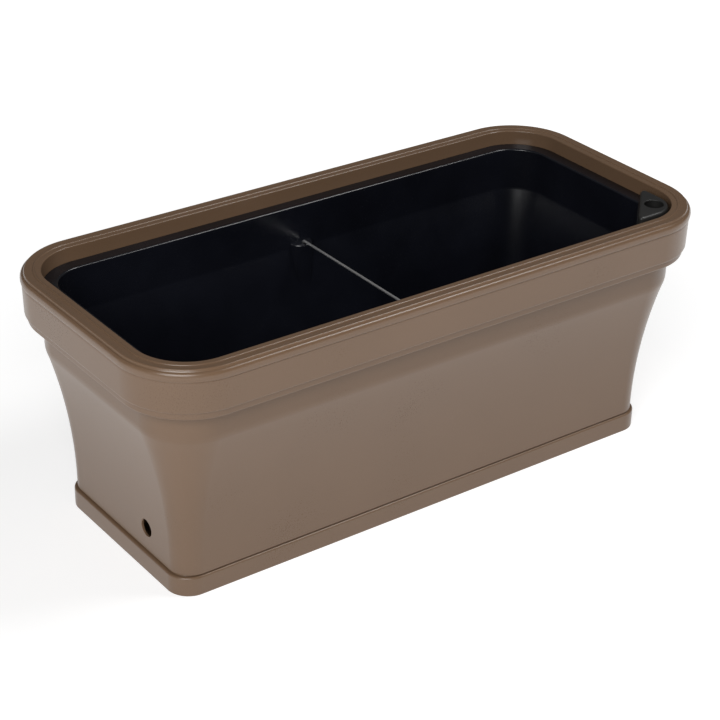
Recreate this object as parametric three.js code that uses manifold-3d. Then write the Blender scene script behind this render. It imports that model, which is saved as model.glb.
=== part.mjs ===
// Self watering planter: a flared trough with a rolled rim, and a black liner that hangs in it.
// The trough's lower part is the water reservoir. Water goes in through a port in one corner of the
// liner and falls down a shaft to the trough's floor. Perforated cups in the liner's floor dip into
// the water, and the soil in them draws it up. A hole in one end wall lets out what is too much.
// Units are millimetres. X runs along the length, Y across, Z up from the ground.

import * as THREE from 'three';
import { mergeVertices } from 'three/addons/utils/BufferGeometryUtils.js';
import Module from 'manifold-3d';

const wasm = await Module();
wasm.setup();

// Overall size, at the outermost line of the rim
const LENGTH = 762;
const DEPTH = 353.6;
const HEIGHT = 302.4;
const HALF_X = LENGTH / 2;
const HALF_Y = DEPTH / 2;
const RIM_CORNER = 84;
const CORNER_STEPS = 7;

// Outer shell
const SHELL_WALL = 3.2;
const PLINTH_INSET_X = 47.1;
const PLINTH_INSET_Y = 50.8;
const PLINTH_CORNER = 27.4;
const PLINTH_HEIGHT = 23.7;
const PLINTH_EDGE = 2.6;
const GROOVE_DEPTH = 1.2;
const GROOVE_HEIGHT = 1.8;
const FOOT_WIDTH = 9;
const FOOT_HEIGHT = 6;
const FOOT_CHAMFER = 1.2;
const FLOOR_TOP = FOOT_HEIGHT + SHELL_WALL;
const FLOOR_FILLET = 8;
const BASE_INSET = 50.6;
const BASE_CORNER = 27;
const BASE_NARROWING = 1.7;
const FLARE_START = 30;
const FLARE_RADIUS = 575;
const FLARE_STEPS = 8;
const NECK_INSET = 22;
const NECK_START = 213.5;
const NECK_BLEND_RADIUS = 32;
const NECK_BLEND_HEIGHT = 10;

// Rim: a skirt that hangs outside the neck, and a rolled top
const SKIRT_BOTTOM = 243;
const SKIRT_STEP_INSET = 5.6;
const SKIRT_EDGE = 1.8;
const BAND_BOTTOM = 254;
const BAND_BOTTOM_INSET = 2.3;
const BAND_FOOT = 4.4;
const BAND_ROUND = 2.6;
const BAND_TOP = 288.2;
const BAND_TOP_INSET = 1.4;
const BAND_CHAMFER = 2.2;
const BEAD_GROOVE_INSET = 2.3;
const BEAD_INSET = 3.8;
const BEAD_Z = 293;
const BEAD_HEIGHT = 6.2;
const SHOULDER_INSET = 6;
const SHOULDER_Z = 302;
const SHOULDER_RADIUS = 1.6;
const VALLEY_INSET = 10.6;
const VALLEY_Z = 301.3;
const CREST_INSET = 15.3;
const CREST_HALF_WIDTH = 1.6;
const CREST_DROP = 0.4;
const LIP_INSET = 23.4;
const LIP_RADIUS = 1.4;
const LIP_Z = 301.3;
const CHANNEL_TOP = 297.2;
const CHANNEL_CORNER = 4;
const LEDGE_Z = 280.5;

// Ribs under the rim, brackets under the liner's flange, and ribs under the floor
const RIB_THICKNESS = 2.4;
const RIB_BOTTOM = 251;
const RIM_RIBS_X = [-290, -180, -60, 60, 180, 290];
const RIM_RIBS_Y = [-46, 46];
const BRACKET_REACH = 38;
const BRACKET_HEIGHT = 26;
const BRACKETS_X = [-232, -116, 116, 232];
const BRACKETS_Y = [-58, 58];
const FLOOR_RIBS_X = [-240, -120, 0, 120, 240];
const FLOOR_RIBS_Y = [-62, 62];
const FLOOR_RIB_CLEARANCE = 1;

// Overflow hole in the left end wall, and drain hole in the middle of the floor
const OVERFLOW_Y = -52;
const OVERFLOW_Z = 54;
const OVERFLOW_RADIUS = 10.2;
const DRAIN_RADIUS = 10;

// Liner
const GAP = 0.3;
const HOLE_GAP = 0.5;
const LINER_WALL = 2.4;
const FLANGE_THICKNESS = 3;
const FLANGE_BOTTOM = LEDGE_Z + GAP;
const FLANGE_TOP = FLANGE_BOTTOM + FLANGE_THICKNESS;
const FLANGE_INSET = LIP_INSET + 0.4;
const MOUTH_INSET = 41;
const MOUTH_EDGE = 3;
const CREASE_INSET = 42;
const CREASE_Z = 238;
const LINER_FOOT_INSET = 66;
const LINER_FLARE_START = 50;
const LINER_STEPS = 6;
const LINER_FLOOR_BOTTOM = 61.4;
const LINER_FLOOR_TOP = 64;
const LINER_FILLET = 14;
const LINER_CORNER_LOSS = 0.7;

// Half-round columns in the liner's long walls, which hold the tie rod
const COLUMN_RADIUS = 15;
const COLUMN_Y = 137;
const COLUMN_TOP = 238.4;
const COLUMN_EDGE = 3;
const COLUMN_BOTTOM = 140;
const SOCKET_Y = 130;
const SOCKET_RADIUS = 2.5;

// Hollow posts under the liner's floor, and drain slots through it
const POST_TOP_RADIUS = 17;
const POST_BOTTOM_RADIUS = 13;
const POSTS_X = [-167, 167];
const POSTS_Y = [-64, 64];
const SLOT_LENGTH = 24;
const SLOT_WIDTH = 4;
const SLOT_COUNT = 11;
const SLOT_PITCH = 52;
const SLOT_Y = 91;

// Fill shaft in the right front corner, and the port over it
const CHORD = 421;
const SHAFT_DRAFT = 6;
const PORT_LEG_X = 346;
const PORT_LEG_Y = -144;
const PORT_CHORD = 423;
const PORT_CORNER = 33;
const PORT_TIP = 6;
const PORT_TOP = 300.6;
const PORT_WALL = 2.2;
const PORT_EDGE = 4;
const PORT_HOLE_RADIUS = 11.4;
const PORT_SPIGOT_RADIUS = 13.8;
const PORT_SPIGOT_BOTTOM = 268;
const PORT_HOLE = [325.4, -121.4];

// Tie rod
const ROD_RADIUS = 1.5;
const ROD_BEND = 2.6;
const ROD_SIDES = 10;
const ROD_LEG = 12;

// Wicking cups
const CUPS_X = [-248, -86, 86, 248];
const CUP_TOP_RADIUS = 43;
const CUP_BOTTOM_RADIUS = 37;
const CUP_FLANGE_RADIUS = 49;
const CUP_WALL = 2;
const CUP_SIDES = 24;
const CUP_BOTTOM = 18;
const CUP_FOOT = 3;
const CUP_SLOTS = 8;
const CUP_SLOT_WIDTH = 4;
const CUP_SLOT_BOTTOM = 24;
const CUP_SLOT_TOP = 54;
const CUP_SLOT_DEPTH = 12;
const CUP_FLOOR_SLOTS = 4;
const CUP_FLOOR_SLOT_LENGTH = 18;

// Drain plug
const PLUG_HEAD_RADIUS = 15;
const PLUG_HEAD = 3;
const PLUG_EDGE = 1;
const PLUG_STEM_RADIUS = DRAIN_RADIUS - 0.4;
const PLUG_STEM_BOTTOM = 2.6;
const PLUG_STEM_TAPER = 2;
const PLUG_GRIP = [14, 4, 10];

const ROUND_SIDES = 24;
const QUARTER = Math.PI / 2;

// ---------------------------------------------------------------- shared shape tools

function outline(halfX, halfY, radius) {
  const points = [];
  const signs = [[1, 1], [-1, 1], [-1, -1], [1, -1]];
  signs.forEach(([signX, signY], quarter) => {
    for (let step = 0; step <= CORNER_STEPS; step += 1) {
      const angle = (quarter + step / CORNER_STEPS) * QUARTER;
      const x = signX * (halfX - radius) + radius * Math.cos(angle);
      const y = signY * (halfY - radius) + radius * Math.sin(angle);
      points.push([x, y]);
    }
  });
  return points;
}

// A closed solid through a row of rounded rectangles. The row may turn over and come back inside.
function loft(rings) {
  const size = 4 * (CORNER_STEPS + 1);
  const positions = [];
  const indices = [];
  for (const ring of rings) {
    for (const [x, y] of outline(ring.halfX, ring.halfY, ring.radius)) {
      positions.push(x, y, ring.z);
    }
  }
  const centre = rings.length * size;
  positions.push(0, 0, rings[0].z, 0, 0, rings[rings.length - 1].z);
  for (let side = 0; side < size; side += 1) {
    const next = (side + 1) % size;
    for (let level = 0; level + 1 < rings.length; level += 1) {
      const low = level * size;
      const high = low + size;
      indices.push(low + side, low + next, high + next);
      indices.push(low + side, high + next, high + side);
    }
    indices.push(centre, next, side);
    indices.push(centre + 1, centre - size + side, centre - size + next);
  }
  return buildGeometry(positions, indices);
}

function buildGeometry(positions, indices) {
  const geometry = new THREE.BufferGeometry();
  geometry.setAttribute('position', new THREE.Float32BufferAttribute(positions, 3));
  geometry.setIndex(indices);
  return geometry;
}

function solid(geometry) {
  const bare = geometry.clone();
  bare.deleteAttribute('normal');
  bare.deleteAttribute('uv');
  const merged = mergeVertices(bare, 1e-4);
  const vertProperties = new Float32Array(merged.attributes.position.array);
  const triVerts = new Uint32Array(merged.index.array);
  return new wasm.Manifold(new wasm.Mesh({ numProp: 3, vertProperties, triVerts }));
}

function named(name, body, material) {
  const mesh = body.getMesh();
  const geometry = buildGeometry(Array.from(mesh.vertProperties), Array.from(mesh.triVerts));
  geometry.computeVertexNormals();
  const piece = new THREE.Mesh(geometry, material);
  piece.name = name;
  return piece;
}

function arc(centreD, centreZ, radiusD, radiusZ, from, to, steps) {
  const points = [];
  for (let step = 0; step <= steps; step += 1) {
    const angle = THREE.MathUtils.degToRad(from + (to - from) * step / steps);
    points.push([centreD + radiusD * Math.cos(angle), centreZ + radiusZ * Math.sin(angle)]);
  }
  return points;
}

function box(sizeX, sizeY, sizeZ, x, y, z) {
  return solid(new THREE.BoxGeometry(sizeX, sizeY, sizeZ).translate(x, y, z));
}

// An upright cone or cylinder between two heights
function round(lowRadius, highRadius, low, high, x, y, sides = ROUND_SIDES) {
  const geometry = new THREE.CylinderGeometry(highRadius, lowRadius, high - low, sides);
  return solid(geometry.rotateX(QUARTER).translate(x, y, (low + high) / 2));
}

function turned(profile, sides) {
  const points = profile.map(([radius, z]) => new THREE.Vector2(radius, z));
  return solid(new THREE.LatheGeometry(points, sides).rotateX(QUARTER));
}

// A flat plate of one outline, standing upright across X or across Y
function plate(points, thickness) {
  const shape = new THREE.Shape(points.map(([u, v]) => new THREE.Vector2(u, v)));
  const geometry = new THREE.ExtrudeGeometry(shape, { depth: thickness, bevelEnabled: false });
  return geometry.translate(0, 0, -thickness / 2);
}

// ---------------------------------------------------------------- rings of the shell and the liner

function rimRing([inset, z]) {
  return { halfX: HALF_X - inset, halfY: HALF_Y - inset, radius: RIM_CORNER - inset, z };
}

function plinthRing(shrink, z) {
  return {
    halfX: HALF_X - PLINTH_INSET_X - shrink,
    halfY: HALF_Y - PLINTH_INSET_Y - shrink,
    radius: PLINTH_CORNER - shrink,
    z,
  };
}

function wallInset(z) {
  const drop = NECK_START - z;
  if (drop <= 0) {
    return NECK_INSET;
  }
  if (drop <= NECK_BLEND_HEIGHT) {
    return NECK_INSET + NECK_BLEND_RADIUS - Math.sqrt(NECK_BLEND_RADIUS ** 2 - drop ** 2);
  }
  const rise = z - FLARE_START;
  return BASE_INSET - (FLARE_RADIUS - Math.sqrt(FLARE_RADIUS ** 2 - rise ** 2));
}

function wallRing(z, depth) {
  const inset = wallInset(z);
  const share = (inset - NECK_INSET) / (BASE_INSET - NECK_INSET);
  const corner = THREE.MathUtils.lerp(RIM_CORNER - NECK_INSET, BASE_CORNER, share);
  return {
    halfX: HALF_X - inset - depth,
    halfY: HALF_Y - inset - share * BASE_NARROWING - depth,
    radius: corner - depth,
    z,
  };
}

function heights(from, to, steps) {
  return Array.from({ length: steps + 1 }, (_, step) => from + (to - from) * step / steps);
}

function linerInset(z) {
  const fullRise = CREASE_Z - LINER_FLARE_START;
  const sag = LINER_FOOT_INSET - CREASE_INSET;
  const radius = (fullRise ** 2 + sag ** 2) / (2 * sag);
  const rise = z - LINER_FLARE_START;
  return LINER_FOOT_INSET - (radius - Math.sqrt(radius ** 2 - rise ** 2));
}

function linerRing(inset, z) {
  const corner = RIM_CORNER - MOUTH_INSET - (inset - MOUTH_INSET) * LINER_CORNER_LOSS;
  return { halfX: HALF_X - inset, halfY: HALF_Y - inset, radius: corner, z };
}

// ---------------------------------------------------------------- outer shell

function footAndPlinth() {
  const edge = arc(0, PLINTH_HEIGHT - PLINTH_EDGE, PLINTH_EDGE, PLINTH_EDGE, 0, 90, 3);
  const bodyShrink = wallRing(FLARE_START, 0).halfX;
  const plinthX = HALF_X - PLINTH_INSET_X;
  const grooveShrink = plinthX - bodyShrink + GROOVE_DEPTH;
  return [
    plinthRing(FOOT_WIDTH, FOOT_HEIGHT),
    plinthRing(FOOT_WIDTH, 0),
    plinthRing(FOOT_CHAMFER, 0),
    plinthRing(0, FOOT_CHAMFER),
    ...edge.map(([out, z]) => plinthRing(PLINTH_EDGE - out, z)),
    plinthRing(grooveShrink, PLINTH_HEIGHT),
    plinthRing(grooveShrink, PLINTH_HEIGHT + GROOVE_HEIGHT / 2),
  ];
}

function outerWall() {
  const start = PLINTH_HEIGHT + GROOVE_HEIGHT;
  const blend = NECK_START - NECK_BLEND_HEIGHT;
  return [
    ...heights(start, blend, FLARE_STEPS).map((z) => wallRing(z, 0)),
    ...heights(blend, NECK_START, 3).slice(1).map((z) => wallRing(z, 0)),
  ];
}

function rimProfile() {
  const skirtInside = BAND_BOTTOM_INSET + SHELL_WALL;
  const stepInside = SKIRT_STEP_INSET + SHELL_WALL;
  const channelEdge = CHANNEL_TOP - CHANNEL_CORNER;
  return [
    [NECK_INSET, channelEdge],
    [NECK_INSET - CHANNEL_CORNER, CHANNEL_TOP],
    [skirtInside + CHANNEL_CORNER, CHANNEL_TOP],
    [skirtInside, channelEdge],
    [skirtInside, BAND_BOTTOM + BAND_FOOT],
    [stepInside, BAND_BOTTOM - SKIRT_EDGE],
    [stepInside, SKIRT_BOTTOM],
    ...arc(SKIRT_STEP_INSET + SKIRT_EDGE, SKIRT_BOTTOM + SKIRT_EDGE, SKIRT_EDGE, SKIRT_EDGE, 270, 180, 2),
    [SKIRT_STEP_INSET, BAND_BOTTOM - BAND_FOOT],
    ...arc(BAND_BOTTOM_INSET + BAND_ROUND, BAND_BOTTOM, BAND_ROUND, BAND_ROUND, 270, 180, 3),
    [BAND_TOP_INSET, BAND_TOP - BAND_CHAMFER],
    [BEAD_GROOVE_INSET, BAND_TOP],
    ...arc(BEAD_INSET, BEAD_Z, BEAD_INSET, BEAD_HEIGHT, 220, 90, 6),
    ...arc(SHOULDER_INSET, SHOULDER_Z - SHOULDER_RADIUS, SHOULDER_RADIUS, SHOULDER_RADIUS, 180, 90, 2),
    [VALLEY_INSET, VALLEY_Z],
    [CREST_INSET - CREST_HALF_WIDTH, HEIGHT - CREST_DROP],
    [CREST_INSET, HEIGHT],
    [CREST_INSET + CREST_HALF_WIDTH, HEIGHT - CREST_DROP],
    ...arc(LIP_INSET - LIP_RADIUS, LIP_Z - LIP_RADIUS, LIP_RADIUS, LIP_RADIUS, 90, 0, 2),
    [LIP_INSET, LEDGE_Z],
    [NECK_INSET + SHELL_WALL, LEDGE_Z],
  ];
}

function innerWall() {
  const blend = NECK_START - NECK_BLEND_HEIGHT;
  const filletTop = FLOOR_TOP + FLOOR_FILLET;
  const fillet = arc(0, filletTop, FLOOR_FILLET, FLOOR_FILLET, 0, -90, 3).slice(1);
  return [
    ...heights(NECK_START, blend, 2).map((z) => wallRing(z, SHELL_WALL)),
    ...heights(blend, filletTop, FLARE_STEPS - 2).slice(1).map((z) => wallRing(z, SHELL_WALL)),
    ...fillet.map(([out, z]) => {
      const ring = wallRing(filletTop, SHELL_WALL + FLOOR_FILLET - out);
      return { ...ring, z };
    }),
  ];
}

// Ribs that stand across the channel between the neck and the skirt
function rimRibs() {
  const points = [
    [NECK_INSET + 1, RIB_BOTTOM],
    [NECK_INSET + 1, CHANNEL_TOP + 1],
    [BAND_BOTTOM_INSET + SHELL_WALL - 1, CHANNEL_TOP + 1],
    [BAND_BOTTOM_INSET + SHELL_WALL - 1, BAND_BOTTOM + 10],
    [BAND_BOTTOM_INSET + SHELL_WALL + 4, BAND_BOTTOM + 8],
  ];
  return acrossTheWalls(points, RIB_THICKNESS, RIM_RIBS_X, RIM_RIBS_Y);
}

// Brackets on the inner wall, on which the liner's flange rests
function flangeBrackets() {
  const wall = NECK_INSET + SHELL_WALL - 1;
  const points = [
    [wall, LEDGE_Z],
    [BRACKET_REACH, LEDGE_Z],
    [BRACKET_REACH, LEDGE_Z - 3],
    [wall, LEDGE_Z - BRACKET_HEIGHT],
  ];
  return acrossTheWalls(points, RIB_THICKNESS, BRACKETS_X, BRACKETS_Y);
}

// Stands one plate across the long walls at each X, and across the end walls at each Y
function acrossTheWalls(points, thickness, listX, listY) {
  const ribs = [];
  for (const side of [-1, 1]) {
    const long = points.map(([inset, z]) => [side * (HALF_Y - inset), z]);
    const short = points.map(([inset, z]) => [side * (HALF_X - inset), z]);
    for (const x of listX) {
      ribs.push(solid(plate(long, thickness).rotateX(QUARTER).rotateZ(QUARTER).translate(x, 0, 0)));
    }
    for (const y of listY) {
      ribs.push(solid(plate(short, thickness).rotateX(QUARTER).translate(0, y, 0)));
    }
  }
  return ribs;
}

function floorRibs() {
  const spanX = LENGTH - 2 * (PLINTH_INSET_X + FOOT_WIDTH) + 2;
  const spanY = DEPTH - 2 * (PLINTH_INSET_Y + FOOT_WIDTH) + 2;
  const height = FOOT_HEIGHT - FLOOR_RIB_CLEARANCE + 1;
  const z = FLOOR_RIB_CLEARANCE + height / 2;
  const ring = round(DRAIN_RADIUS + 6, DRAIN_RADIUS + 6, FLOOR_RIB_CLEARANCE, FOOT_HEIGHT + 1, 0, 0);
  return [
    ...FLOOR_RIBS_X.map((x) => box(RIB_THICKNESS, spanY, height, x, 0, z)),
    ...FLOOR_RIBS_Y.map((y) => box(spanX, RIB_THICKNESS, height, 0, y, z)),
    ring,
  ];
}

function outerShell(material) {
  const rings = [...footAndPlinth(), ...outerWall(), ...rimProfile().map(rimRing), ...innerWall()];
  let body = solid(loft(rings));
  for (const rib of [...rimRibs(), ...flangeBrackets(), ...floorRibs()]) {
    body = body.add(rib);
  }
  const reach = 4 * SHELL_WALL;
  const bore = new THREE.CylinderGeometry(OVERFLOW_RADIUS, OVERFLOW_RADIUS, reach, ROUND_SIDES);
  const wallX = wallRing(OVERFLOW_Z, 0).halfX;
  const overflow = solid(bore.rotateZ(QUARTER).translate(-wallX, OVERFLOW_Y, OVERFLOW_Z));
  const drain = round(DRAIN_RADIUS, DRAIN_RADIUS, -1, FLOOR_TOP + 1, 0, 0);
  return named('outer_shell', body.subtract(overflow).subtract(drain), material);
}

// ---------------------------------------------------------------- liner

function linerBody() {
  const outside = (z) => linerRing(linerInset(z) - LINER_WALL, z);
  const turn = arc(0, LINER_FLOOR_BOTTOM + LINER_FILLET, LINER_FILLET, LINER_FILLET, -90, 0, 3);
  const fillet = turn.slice(0, -1).map(([out, z]) => {
    return linerRing(linerInset(z) - LINER_WALL + LINER_FILLET - out, z);
  });
  const wall = heights(LINER_FLOOR_BOTTOM + LINER_FILLET, CREASE_Z, LINER_STEPS).map(outside);
  return solid(loft([
    ...fillet,
    ...wall,
    linerRing(MOUTH_INSET - LINER_WALL, FLANGE_BOTTOM),
    rimRing([FLANGE_INSET, FLANGE_BOTTOM]),
    rimRing([FLANGE_INSET, FLANGE_TOP]),
  ]));
}

function linerCavity() {
  const turn = arc(0, LINER_FLOOR_TOP + LINER_FILLET, LINER_FILLET, LINER_FILLET, -90, 0, 3);
  const fillet = turn.slice(0, -1).map(([out, z]) => linerRing(linerInset(z) + LINER_FILLET - out, z));
  const wall = heights(LINER_FLOOR_TOP + LINER_FILLET, CREASE_Z, LINER_STEPS);
  const edge = arc(MOUTH_INSET - MOUTH_EDGE, FLANGE_TOP - MOUTH_EDGE, MOUTH_EDGE, MOUTH_EDGE, 0, 90, 3);
  return solid(loft([
    ...fillet,
    ...wall.map((z) => linerRing(linerInset(z), z)),
    ...edge.map(([inset, z]) => linerRing(inset, z)),
    linerRing(MOUTH_INSET - MOUTH_EDGE, FLANGE_TOP + 2),
  ]));
}

// Everything beyond a leaning plane that cuts off the right front corner
function cornerBlock(chord, top) {
  const size = 600;
  const lean = THREE.MathUtils.degToRad(SHAFT_DRAFT);
  const block = new THREE.BoxGeometry(size, size, size).translate(size / 2, 0, 0);
  block.rotateY(lean).rotateZ(-QUARTER / 2);
  const cut = solid(block.translate(chord / 2, -chord / 2, FLANGE_BOTTOM));
  return cut.subtract(box(3 * size, 3 * size, size, 0, 0, top + size / 2));
}

function columns(radius, top, edge) {
  const low = COLUMN_BOTTOM;
  return [-1, 1].map((side) => {
    const y = side * COLUMN_Y;
    const body = round(radius, radius, low, top - edge, 0, y);
    return edge > 0 ? body.add(round(radius, radius - edge, top - edge, top, 0, y)) : body;
  });
}

function posts(shrink, low, high) {
  const solids = [];
  for (const x of POSTS_X) {
    for (const y of POSTS_Y) {
      solids.push(round(POST_BOTTOM_RADIUS - shrink, POST_TOP_RADIUS - shrink, low, high, x, y));
    }
  }
  return solids;
}

function drainSlots() {
  const solids = [];
  const height = 4 * LINER_WALL;
  for (let index = 0; index < SLOT_COUNT; index += 1) {
    const x = (index - (SLOT_COUNT - 1) / 2) * SLOT_PITCH;
    for (const y of [-SLOT_Y, SLOT_Y]) {
      solids.push(box(SLOT_LENGTH, SLOT_WIDTH, height, x, y, LINER_FLOOR_TOP));
    }
  }
  return solids;
}

function linerCuts() {
  const postLow = FLOOR_TOP + GAP + LINER_WALL;
  const cupHole = CUP_TOP_RADIUS + HOLE_GAP;
  const port = PORT_SPIGOT_RADIUS + HOLE_GAP;
  return [
    ...columns(COLUMN_RADIUS - LINER_WALL, COLUMN_TOP - LINER_WALL, 0),
    ...[-SOCKET_Y, SOCKET_Y].map((y) => {
      return round(SOCKET_RADIUS, SOCKET_RADIUS, COLUMN_TOP - 2 * LINER_WALL, COLUMN_TOP + 1, 0, y, 12);
    }),
    ...posts(LINER_WALL, postLow, LINER_FLOOR_TOP + 1),
    ...CUPS_X.map((x) => {
      return round(cupHole, cupHole, LINER_FLOOR_BOTTOM - 1, LINER_FLOOR_TOP + 1, x, 0, CUP_SIDES);
    }),
    ...drainSlots(),
    round(port, port, FLANGE_BOTTOM - 1, FLANGE_TOP + 1, ...PORT_HOLE),
  ];
}

function liner(material) {
  let cavity = linerCavity().subtract(cornerBlock(CHORD, FLANGE_TOP + 4));
  for (const column of columns(COLUMN_RADIUS, COLUMN_TOP, COLUMN_EDGE)) {
    cavity = cavity.subtract(column);
  }
  let body = linerBody().subtract(cornerBlock(CHORD + LINER_WALL * Math.SQRT2, FLANGE_BOTTOM));
  for (const post of posts(0, FLOOR_TOP + GAP, LINER_FLOOR_BOTTOM + 1)) {
    body = body.add(post);
  }
  body = body.subtract(cavity);
  for (const cut of linerCuts()) {
    body = body.subtract(cut);
  }
  return named('liner', body, material);
}

// ---------------------------------------------------------------- fill port

function portOutline(shrink) {
  const legX = PORT_LEG_X - shrink;
  const legY = PORT_LEG_Y + shrink;
  const chord = PORT_CHORD + shrink * Math.SQRT2;
  const corner = PORT_CORNER - shrink;
  const tip = PORT_TIP;
  const back = tip * Math.tan(QUARTER * 0.75);
  const shape = new THREE.Shape();
  shape.moveTo(legX - corner, legY);
  shape.absarc(legX - corner, legY + corner, corner, -QUARTER, 0, false);
  const tipY = legX - chord;
  shape.absarc(legX - tip, tipY - back, tip, 0, QUARTER * 1.5, false);
  const tipX = legY + chord;
  shape.absarc(tipX + back, legY + tip, tip, QUARTER * 1.5, QUARTER * 3, false);
  return shape;
}

function portBlock(shrink, low, high, edge) {
  const options = {
    depth: high - low - edge,
    bevelEnabled: edge > 0,
    bevelThickness: edge,
    bevelSize: edge,
    bevelOffset: -edge,
    bevelSegments: 2,
    curveSegments: 6,
  };
  return solid(new THREE.ExtrudeGeometry(portOutline(shrink), options).translate(0, 0, low));
}

function fillPort(material) {
  const bottom = FLANGE_TOP + GAP;
  const size = 400;
  const below = box(size, size, size, PORT_HOLE[0], PORT_HOLE[1], bottom - size / 2);
  const cap = portBlock(0, bottom, PORT_TOP, PORT_EDGE).subtract(below);
  const hollow = portBlock(PORT_WALL, bottom - PORT_EDGE, PORT_TOP - PORT_WALL, PORT_EDGE);
  const spigot = round(PORT_SPIGOT_RADIUS - 0.4, PORT_SPIGOT_RADIUS, PORT_SPIGOT_BOTTOM,
    PORT_TOP - PORT_WALL / 2, ...PORT_HOLE);
  const hole = round(PORT_HOLE_RADIUS, PORT_HOLE_RADIUS, PORT_SPIGOT_BOTTOM - 1, PORT_TOP + 1, ...PORT_HOLE);
  return named('fill_port', cap.subtract(hollow).add(spigot).subtract(hole), material);
}

// ---------------------------------------------------------------- tie rod

// A wire of round section along a path in the plane X = 0
function wire(path, radius) {
  const positions = [];
  const indices = [];
  path.forEach(([y, z], index) => {
    const [lastY, lastZ] = path[Math.max(index - 1, 0)];
    const [nextY, nextZ] = path[Math.min(index + 1, path.length - 1)];
    const along = new THREE.Vector2(nextY - lastY, nextZ - lastZ).normalize();
    for (let side = 0; side < ROD_SIDES; side += 1) {
      const angle = 2 * Math.PI * side / ROD_SIDES;
      const out = radius * Math.sin(angle);
      positions.push(radius * Math.cos(angle), y - along.y * out, z + along.x * out);
    }
  });
  const last = (path.length - 1) * ROD_SIDES;
  for (let side = 0; side < ROD_SIDES; side += 1) {
    const next = (side + 1) % ROD_SIDES;
    for (let low = 0; low < last; low += ROD_SIDES) {
      const high = low + ROD_SIDES;
      indices.push(low + side, high + next, low + next);
      indices.push(low + side, high + side, high + next);
    }
    if (side > 0 && side + 1 < ROD_SIDES) {
      indices.push(0, side, next);
      indices.push(last, last + next, last + side);
    }
  }
  return solid(buildGeometry(positions, indices));
}

function tieRod(material) {
  const axisZ = COLUMN_TOP + GAP + ROD_RADIUS;
  const bend = arc(SOCKET_Y - ROD_BEND, axisZ - ROD_BEND, ROD_BEND, ROD_BEND, 0, 90, 4);
  const half = [[SOCKET_Y, COLUMN_TOP - ROD_LEG], ...bend];
  const other = half.map(([y, z]) => [-y, z]).reverse();
  return named('tie_rod', wire([...half, ...other], ROD_RADIUS), material);
}

// ---------------------------------------------------------------- wicking cups

function cup(name, x, material) {
  const seat = LINER_FLOOR_TOP + GAP;
  const insideFoot = CUP_BOTTOM_RADIUS - CUP_WALL;
  let body = turned([
    [0, CUP_BOTTOM],
    [CUP_BOTTOM_RADIUS - CUP_FOOT, CUP_BOTTOM],
    [CUP_BOTTOM_RADIUS, CUP_BOTTOM + CUP_FOOT],
    [CUP_TOP_RADIUS, seat],
    [CUP_FLANGE_RADIUS, seat],
    [CUP_FLANGE_RADIUS, seat + CUP_WALL],
    [CUP_TOP_RADIUS - CUP_WALL, seat + CUP_WALL],
    [insideFoot, CUP_BOTTOM + CUP_WALL + CUP_FOOT],
    [insideFoot - CUP_FOOT, CUP_BOTTOM + CUP_WALL],
    [0, CUP_BOTTOM + CUP_WALL],
  ], CUP_SIDES);
  const slotHeight = CUP_SLOT_TOP - CUP_SLOT_BOTTOM;
  const slotZ = (CUP_SLOT_TOP + CUP_SLOT_BOTTOM) / 2;
  for (let index = 0; index < CUP_SLOTS; index += 1) {
    const angle = 2 * Math.PI * (index + 0.5) / CUP_SLOTS;
    const slot = new THREE.BoxGeometry(CUP_SLOT_DEPTH, CUP_SLOT_WIDTH, slotHeight);
    slot.translate(CUP_BOTTOM_RADIUS + CUP_WALL, 0, slotZ).rotateZ(angle);
    body = body.subtract(solid(slot));
  }
  for (let index = 0; index < CUP_FLOOR_SLOTS; index += 1) {
    const angle = 2 * Math.PI * index / CUP_FLOOR_SLOTS;
    const slot = new THREE.BoxGeometry(CUP_FLOOR_SLOT_LENGTH, CUP_SLOT_WIDTH, 3 * CUP_WALL);
    slot.translate(CUP_FLOOR_SLOT_LENGTH, 0, CUP_BOTTOM).rotateZ(angle);
    body = body.subtract(solid(slot));
  }
  return named(name, body.translate([x, 0, 0]), material);
}

// ---------------------------------------------------------------- drain plug

function drainPlug(material) {
  const seat = FLOOR_TOP + GAP;
  const body = turned([
    [0, PLUG_STEM_BOTTOM],
    [PLUG_STEM_RADIUS - PLUG_STEM_TAPER, PLUG_STEM_BOTTOM],
    [PLUG_STEM_RADIUS, PLUG_STEM_BOTTOM + PLUG_STEM_TAPER],
    [PLUG_STEM_RADIUS, seat],
    [PLUG_HEAD_RADIUS, seat],
    [PLUG_HEAD_RADIUS, seat + PLUG_HEAD - PLUG_EDGE],
    [PLUG_HEAD_RADIUS - PLUG_EDGE, seat + PLUG_HEAD],
    [0, seat + PLUG_HEAD],
  ], ROUND_SIDES);
  const [length, thickness, height] = PLUG_GRIP;
  const low = seat + PLUG_HEAD - 0.5;
  const tab = box(length, thickness, height - length / 2, 0, 0, low + (height - length / 2) / 2);
  const crown = new THREE.CylinderGeometry(length / 2, length / 2, thickness, ROUND_SIDES);
  const top = solid(crown.translate(0, 0, low + height - length / 2));
  const base = box(2 * length, 2 * length, length, 0, 0, seat + PLUG_HEAD - 1 - length / 2);
  return named('drain_plug', body.add(tab.add(top).subtract(base)), material);
}

// ---------------------------------------------------------------- assembly

function plastic(color, roughness) {
  return new THREE.MeshStandardMaterial({ color, roughness, metalness: 0 });
}

const group = new THREE.Group();
const taupe = 0x7b6a5c;
const black = 0x17171a;
group.add(outerShell(plastic(taupe, 0.45)));
group.add(liner(plastic(black, 0.4)));
group.add(fillPort(plastic(black, 0.42)));
group.add(tieRod(new THREE.MeshStandardMaterial({ color: 0xb9bbbd, roughness: 0.3, metalness: 1 })));
CUPS_X.forEach((x, index) => group.add(cup(`wick_cup_${index + 1}`, x, plastic(black, 0.5))));
group.add(drainPlug(plastic(0x2a2a2c, 0.8)));

export default group;
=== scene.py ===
import math
from collections import namedtuple

import bmesh
import bpy
from mathutils import Matrix, Vector


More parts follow.
